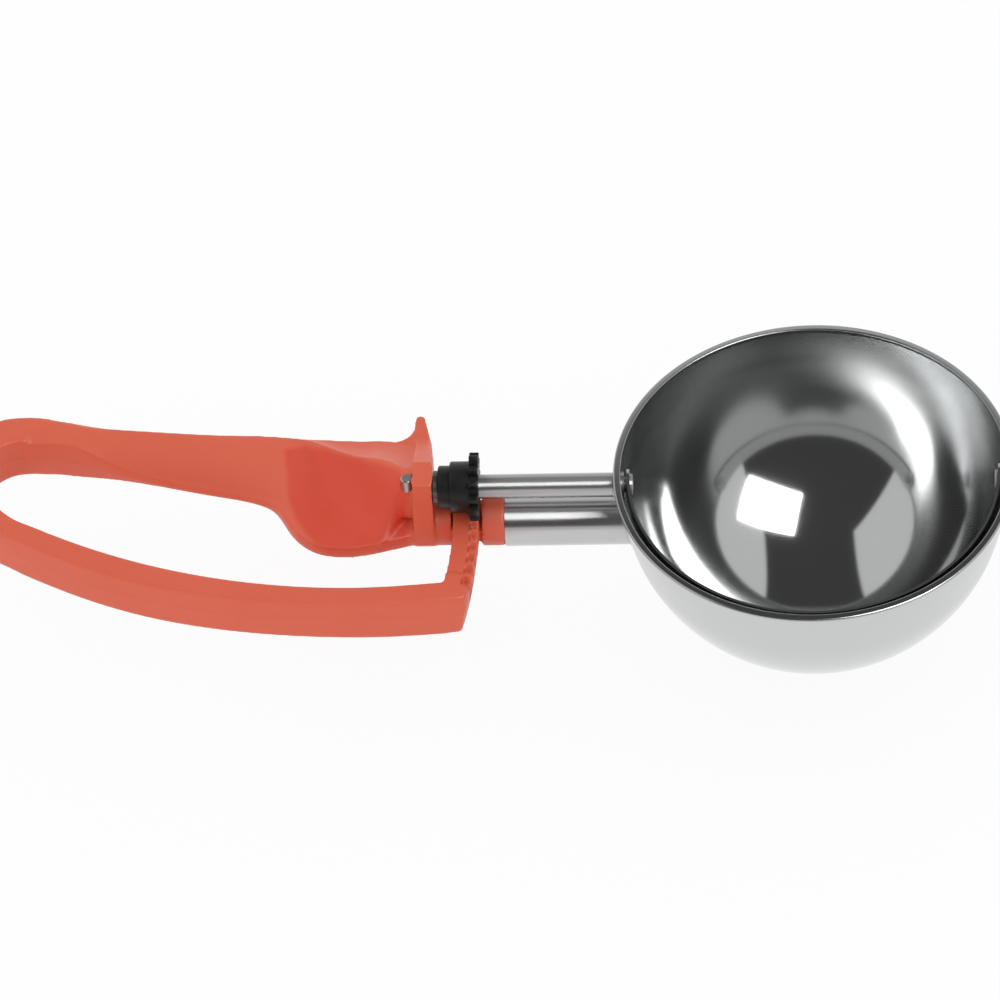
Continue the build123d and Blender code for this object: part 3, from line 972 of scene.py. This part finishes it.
@dataclass
class Bowl:
    """The spun steel bowl: a sphere that flares in a straight band up to a rounded rim."""

    radius: float = 46.2 * MM
    wall: float = 0.9 * MM
    centre_height: float = -4.2 * MM
    flare: float = 12.6
    rim_width: float = 1.9 * MM
    rim_edge: float = 49.1 * MM
    inner_round: float = 0.3 * MM
    outer_round: float = 0.55 * MM
    outer_height: float = -0.6 * MM
    rim_foot: float = -0.9 * MM
    hem: tuple[Pair, ...] = ((-0.7, 0.04), (-1.2, 0.3), (-1.6, 0.52), (-2.0, 0.62))
    arc_steps: int = 64
    outer_steps: int = 10
    inner_steps: int = 8
    rim_top: float = 80.0
    segments: int = 300
    crease: float = 35.0

    def flared(self, radius: float, height: float) -> float:
        """Where the flared band of one of the wall's two surfaces stands at a height."""
        tilt = radians(self.flare)
        return radius / cos(tilt) + (height - self.centre_height) * tan(tilt)

    def profile(self) -> list[Pair]:
        """Draws the wall from the outside bottom over the rim to the inside bottom.

        Returns:
            Its points, as height and radius.
        """
        outer = self.radius + self.wall
        centre = (self.centre_height, 0.0)
        points = arc(centre, outer, DOWN, -self.flare, self.arc_steps)
        points[0] = (points[0][0], 0.0)
        edge = self.flared(outer, self.outer_height)
        edge -= self.outer_round / cos(radians(self.flare))
        rolled = (self.outer_height, edge)
        points += arc(rolled, self.outer_round, -self.flare, self.rim_top, self.outer_steps)
        inner_edge = self.rim_edge - self.rim_width
        corner = self.inner_round
        lip = (-corner, inner_edge + corner)
        points += arc(lip, corner, self.rim_top, INWARDS, self.inner_steps)
        points += [(height * MM, inner_edge + step * MM) for height, step in self.hem]
        inside = arc(centre, self.radius, -self.flare, DOWN, self.arc_steps)
        inside[-1] = (inside[-1][0], 0.0)
        return points + inside

    def build(self, material: Material, rim: Material) -> None:
        """Builds the bowl.

        Args:
            material: The wall's finish.
            rim: The finish of the rolled rim.
        """
        shell = lathe(self.profile(), lambda z, r, a: (r * cos(a), r * sin(a), z), self.segments)
        piece = add_object("spun_bowl", shell)
        soften(piece, self.crease)
        dress(piece, material)
        piece.data.materials.append(rim)
        for face in piece.data.polygons:
            face.material_index = int(face.center.z > self.rim_foot)
        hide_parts("bowl")
        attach(piece, Body.HANDLE.value)


# ---- pinion ----------------------------------------------------------------------------


class Tree(Nodes):
    """A geometry node tree that takes and gives geometry."""

    def __init__(self, name: str) -> None:
        """Starts the tree.

        Args:
            name: The tree's name.
        """
        super().__init__(bpy.data.node_groups.new(name, "GeometryNodeTree"))
        for way in ("INPUT", "OUTPUT"):
            self.socket("Geometry", "NodeSocketGeometry", way)
        self.start = self.node("NodeGroupInput")
        self.end = self.node("NodeGroupOutput")

    def socket(self, name: str, kind: str, way: str = "INPUT") -> str:
        """Adds a socket to the tree, and returns its identifier."""
        made = self.graph.interface.new_socket(name, in_out=way, socket_type=kind)
        return made.identifier


@dataclass
class Pinion:
    """The black moulded pinion: a ring of teeth on a stepped hub, about the blade's axis."""

    teeth: int = 12
    module: float = 1.2 * MM
    root_depth: float = 1.35 * MM
    width: float = 2.3 * MM
    phase: float = 8.8
    pressure: float = 20.0
    backlash: float = 0.34 * MM
    axis_height: float = -4.2 * MM
    start: float = -91.95 * MM
    collar_length: float = 2.9 * MM
    collar_radius: float = 5.3 * MM
    hub_length: float = 4.8 * MM
    hub_radius: float = 6.3 * MM
    edge: float = 0.45 * MM
    corner: float = 0.3
    foot_width: float = 0.9
    foot_sink: float = 0.93
    tooth_edge: float = 0.16 * MM
    tooth_edge_steps: int = 3
    crisp: float = 0.5
    bore: float = 3.0 * MM
    segments: int = 96
    crease: float = 40.0
    weld: float = 0.0005 * MM

    @property
    def pitch_radius(self) -> float:
        """Radius of the pitch circle."""
        return self.module * self.teeth / 2

    def tooth(self) -> Mesh:
        """Builds one tooth, which points straight down from the X axis.

        Returns:
            The tooth.
        """
        pitch = self.pitch_radius
        half_pitch = (pi * self.module - self.backlash) / 4
        lean = tan(radians(self.pressure))
        foot = half_pitch * self.foot_width
        tip = half_pitch - self.module * lean
        sunk = (pitch - self.root_depth) * self.foot_sink
        half = [(tip, -pitch - self.module), (half_pitch, -pitch), (foot, -sunk)]
        outline = [(-y, z) for y, z in reversed(half)] + half
        back = self.start + self.collar_length + self.hub_length
        work = bmesh.new()
        ends = [[work.verts.new((x, y, z)) for y, z in outline] for x in (back, back + self.width)]
        work.faces.new(ends[0])
        work.faces.new(reversed(ends[1]))
        for step in range(len(outline)):
            after = (step + 1) % len(outline)
            work.faces.new([ends[0][step], ends[1][step], ends[1][after], ends[0][after]])
        bmesh.ops.recalc_face_normals(work, faces=work.faces)
        bmesh.ops.bevel(
            work,
            geom=[edge for edge in work.edges if edge.calc_face_angle(0) > self.crisp],
            offset=self.tooth_edge,
            segments=self.tooth_edge_steps,
            profile=0.5,
            affect="EDGES",
        )
        return work

    def ring(self, material: Material) -> Object:
        """Sets the teeth round the axis with geometry nodes.

        Args:
            material: The finish.

        Returns:
            The teeth as one plain mesh.
        """
        tree = Tree("pinion_teeth")
        sizes = (
            ("Teeth", "NodeSocketInt", self.teeth),
            ("Phase", "NodeSocketFloat", radians(self.phase)),
            ("Axis Height", "NodeSocketFloat", self.axis_height),
            ("Finish", "NodeSocketMaterial", material),
        )
        values = {tree.socket(name, kind): value for name, kind, value in sizes}
        given = tree.start.outputs
        points = tree.node("GeometryNodePoints", {"Count": given["Teeth"]})
        step = tree.node("ShaderNodeMath", {0: tau, 1: given["Teeth"]}, operation="DIVIDE")
        index = tree.node("GeometryNodeInputIndex")
        turn = tree.node(
            "ShaderNodeMath",
            {0: index.outputs[0], 1: step.outputs[0], 2: given["Phase"]},
            operation="MULTIPLY_ADD",
        )
        euler = tree.node("ShaderNodeCombineXYZ", {"X": turn.outputs[0]})
        rotation = tree.node("FunctionNodeEulerToRotation", {0: euler.outputs[0]})
        spread = tree.node(
            "GeometryNodeInstanceOnPoints",
            {
                "Points": points.outputs[0],
                "Instance": given["Geometry"],
                "Rotation": rotation.outputs[0],
            },
        )
        real = tree.node("GeometryNodeRealizeInstances", {"Geometry": spread.outputs[0]})
        lift = tree.node("ShaderNodeCombineXYZ", {"Z": given["Axis Height"]})
        place = tree.node(
            "GeometryNodeTransform", {"Geometry": real.outputs[0], "Translation": lift.outputs[0]}
        )
        painted = tree.node(
            "GeometryNodeSetMaterial", {"Geometry": place.outputs[0], "Material": given["Finish"]}
        )
        tree.link(painted.outputs[0], tree.end.inputs[0])
        ring = add_object("pinion_ring", self.tooth())
        maker = ring.modifiers.new("teeth", "NODES")
        maker.node_group = tree.graph
        for identifier, value in values.items():
            maker[identifier] = value
        settle(ring)
        return ring

    def tier(self, start: float, end: float, radius: float) -> list[Pair]:
        """Draws one tier of the hub, with its rear edge rounded.

        Args:
            start: Where it starts along the axis.
            end: Where it ends.
            radius: Its radius.

        Returns:
            Its points, as place along the axis and radius.
        """
        inset = self.edge * self.corner
        rounded = [(start, radius - self.edge), (start + inset, radius - inset)]
        return [*rounded, (start + self.edge, radius), (end, radius)]

    def hub(self) -> Mesh:
        """Turns the bored hub with its collar and the disc that carries the teeth.

        Returns:
            The hub.
        """
        collar_end = self.start + self.collar_length
        hub_end = collar_end + self.hub_length
        front = hub_end + self.width
        root = self.pitch_radius - self.root_depth
        profile = [
            (self.start, self.bore),
            *self.tier(self.start, collar_end, self.collar_radius),
            *self.tier(collar_end, hub_end, self.hub_radius),
            (hub_end, root),
            (front, root),
            (front, self.bore),
            (self.start, self.bore),
        ]
        return lathe(
            profile,
            lambda x, r, a: (x, r * cos(a), self.axis_height + r * sin(a)),
            self.segments,
        )

    def build(self, material: Material) -> None:
        """Builds the pinion as one piece.

        Args:
            material: The finish.
        """
        ring = self.ring(material)
        work = self.hub()
        work.from_mesh(ring.data)
        bpy.data.objects.remove(ring)
        bmesh.ops.remove_doubles(work, verts=work.verts, dist=self.weld)
        piece = add_object("toothed_pinion", work)
        soften(piece, self.crease)
        piece.data.materials.clear()
        dress(piece, material)
        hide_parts("pinion")
        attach(piece, Body.SCRAPER.value)


# ---- fittings --------------------------------------------------------------------------


@dataclass
class Fittings:
    """The CAD nodes whose shape is right as it is, each with its finish."""

    turned: tuple[str, ...] = (
        "stem_pin", "stem_braze", "shaft_bush", "pivot_rivet", "pivot_washer"
    )

    def build(self, nodes: dict[str, Object], finishes: Finishes) -> None:
        """Dresses the nodes.

        Args:
            nodes: The CAD nodes by name.
            finishes: The finishes.
        """
        chosen = dict.fromkeys(self.turned, finishes.turned) | {
            "stem": finishes.stem,
            "thrust_washer": finishes.dull,
            "scraper_blade": finishes.blade,
            "drive_rod": finishes.rod,
        }
        for name, finish in chosen.items():
            dress(nodes[name], finish)


# ---- studio ----------------------------------------------------------------------------


@dataclass
class Studio:
    """Floor, surroundings, soft box and camera.

    The sides of the dark ceiling each hold a way to look, and how far a look has to lean that way
    for the ceiling to begin and to be full.
    """

    target: Vector = field(default_factory=lambda: Vector((-0.07705, 0.0, -0.00915)))
    elevation: float = 47.52
    azimuth: float = 4.0
    roll: float = -3.85
    distance: float = 2.214
    focal_pixels: float = 9022.8
    frame_pixels: float = 1000.0
    sensor: float = 36.0
    clip_end: float = 20.0
    floor_height: float = -0.0516
    floor_half: float = 3.0
    floor_colour: Colour = (0.9, 0.9, 0.9, 1.0)
    floor_roughness: float = 0.9
    ambient: float = 1.0
    dark: float = 0.06
    bright: float = 0.72
    floor_white: float = 0.92
    ceiling_left: tuple[Edge, Edge] = (((1, 0, 0), -0.4, -0.37), ((1, -1.11, 0), -0.24, -0.2))
    ceiling_right: tuple[Edge, Edge] = (((1, 0.15, 0), 0.5, 0.475), ((1, 0.396, 0), 0.48, 0.455))
    ceiling_low: Edge = ((0, 0, 1), 0.18, 0.3)
    ceiling_rear: Edge = ((0, 1, 0), 0.82, 0.64)
    softbox_way: Vector = field(default_factory=lambda: Vector((0.48, -0.377, 0.792)))
    softbox_edge: Vector = field(default_factory=lambda: Vector((-0.84, -0.03, 0.54)))
    softbox_distance: float = 1.3
    softbox_size: Pair = (0.86, 0.66)
    softbox_power: float = 11.5

    def camera(self) -> None:
        """Places the camera."""
        lens = bpy.data.cameras.new("camera")
        lens.sensor_width = self.sensor
        lens.sensor_height = self.sensor
        lens.sensor_fit = "HORIZONTAL"
        lens.lens = self.focal_pixels / self.frame_pixels * self.sensor
        lens.clip_end = self.clip_end
        view = bpy.data.objects.new("camera", lens)
        up_tilt = radians(self.elevation)
        around = radians(self.azimuth)
        back = Vector((sin(around) * cos(up_tilt), -cos(around) * cos(up_tilt), sin(up_tilt)))
        right = Vector((cos(around), sin(around), 0))
        up = back.cross(right)
        turn = radians(self.roll)
        right_rolled = right * cos(turn) + up * sin(turn)
        up_rolled = up * cos(turn) - right * sin(turn)
        frame = Matrix((right_rolled, up_rolled, back)).transposed().to_4x4()
        frame.translation = self.target + back * self.distance
        view.matrix_world = frame
        bpy.context.scene.collection.objects.link(view)
        bpy.context.scene.camera = view

    def ceiling(self, sky: Nodes) -> Socket:
        """Shades what steel mirrors: bright all round, with a dark ceiling.

        Args:
            sky: The world's nodes.

        Returns:
            The shade for each way to look.
        """
        way = sky.node("ShaderNodeTexCoord").outputs["Generated"]

        def within(edge: Edge) -> Socket:
            """Adds a mask that is 1 inside one side of the ceiling.

            Args:
                edge: The side.

            Returns:
                The mask.
            """
            side, begin, full = edge
            lean = sky.node("ShaderNodeVectorMath", {0: way, 1: side}, operation="DOT_PRODUCT")
            return sky.ramp(lean.outputs["Value"], (begin, 0), (full, 1), Rise.SOFT)

        left = sky.combine(Join.GREATER, *(within(edge) for edge in self.ceiling_left))
        right = sky.combine(Join.GREATER, *(within(edge) for edge in self.ceiling_right))
        sides = sky.combine(Join.PRODUCT, left, right)
        ends = sky.combine(Join.PRODUCT, within(self.ceiling_low), within(self.ceiling_rear))
        dark = sky.combine(Join.PRODUCT, sides, ends)
        return sky.ramp(dark, (0, self.bright), (1, self.dark))

    def world(self) -> None:
        """Surrounds the scene with even white light, and shows steel a dark ceiling in it."""
        world = bpy.data.worlds.new("studio")
        world.use_nodes = True
        sky = Nodes(world.node_tree)
        even = sky.graph.nodes["Background"]
        even.inputs["Color"].default_value = WHITE
        even.inputs["Strength"].default_value = self.ambient
        mirrored = sky.node("ShaderNodeBackground", {"Color": self.ceiling(sky)})
        seen = sky.node("ShaderNodeBackground", {"Color": WHITE})
        rays = sky.node("ShaderNodeLightPath").outputs
        for_steel = sky.mix(rays["Is Glossy Ray"], even.outputs[0], mirrored.outputs[0])
        straight = sky.combine(Join.GREATER, rays["Is Camera Ray"], rays["Is Transmission Ray"])
        for_eye = sky.mix(straight, for_steel, seen.outputs[0])
        sky.link(for_eye, sky.graph.nodes["World Output"].inputs["Surface"])
        bpy.context.scene.world = world

    def floor(self) -> None:
        """Lays a pale floor that looks white and still takes a faint shadow."""
        half = self.floor_half
        work = bmesh.new()
        corners = ((-half, -half), (half, -half), (half, half), (-half, half))
        work.faces.new([work.verts.new((x, y, self.floor_height)) for x, y in corners])
        floor = add_object("floor", work)
        shader = Shader("floor_white")
        shader.set(
            Base_Color=self.floor_colour, Roughness=self.floor_roughness, Specular_IOR_Level=0.0
        )
        rays = shader.node("ShaderNodeLightPath").outputs
        seen = shader.combine(Join.GREATER, rays["Is Camera Ray"], rays["Is Glossy Ray"])
        seen = shader.combine(Join.GREATER, seen, rays["Is Transmission Ray"])
        share = shader.combine(Join.PRODUCT, seen, self.floor_white)
        glow = shader.node("ShaderNodeEmission")
        pale = shader.mix(share, shader.surface.outputs[0], glow.outputs[0])
        shader.link(pale, shader.graph.nodes["Material Output"].inputs["Surface"])
        dress(floor, shader.material)
        floor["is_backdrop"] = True

    def softbox(self) -> None:
        """Hangs the soft box over the camera's right shoulder."""
        light = bpy.data.lights.new("softbox", "AREA")
        light.shape = "RECTANGLE"
        light.size, light.size_y = self.softbox_size
        light.energy = self.softbox_power
        box = bpy.data.objects.new("softbox", light)
        box.visible_diffuse = False
        back = self.softbox_way.normalized()
        side = (self.softbox_edge - back * self.softbox_edge.dot(back)).normalized()
        turned = Matrix((side, back.cross(side), back)).transposed().to_4x4()
        turned.translation = back * self.softbox_distance
        box.matrix_world = turned
        bpy.context.scene.collection.objects.link(box)

    def build(self) -> None:
        """Sets up the whole studio."""
        self.camera()
        self.world()
        self.floor()
        self.softbox()
        bpy.context.scene.view_settings.view_transform = "Standard"


def main() -> None:
    """Builds the scene."""
    logging.basicConfig(level=logging.INFO, format="%(name)s %(message)s")
    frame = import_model()
    nodes = frame["nodes"]
    finishes = Finishes()
    LOG.info("handle")
    Moulding().build(nodes, finishes.handle)
    LOG.info("bowl")
    Bowl().build(finishes.bowl, finishes.rim)
    LOG.info("pinion")
    Pinion().build(finishes.gear)
    LOG.info("fittings")
    Fittings().build(nodes, finishes)
    LOG.info("studio")
    Studio().build()
    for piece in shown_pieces():
        LOG.info("piece %s", getattr(piece, "name", piece))


if __name__ == "__main__":
    main()
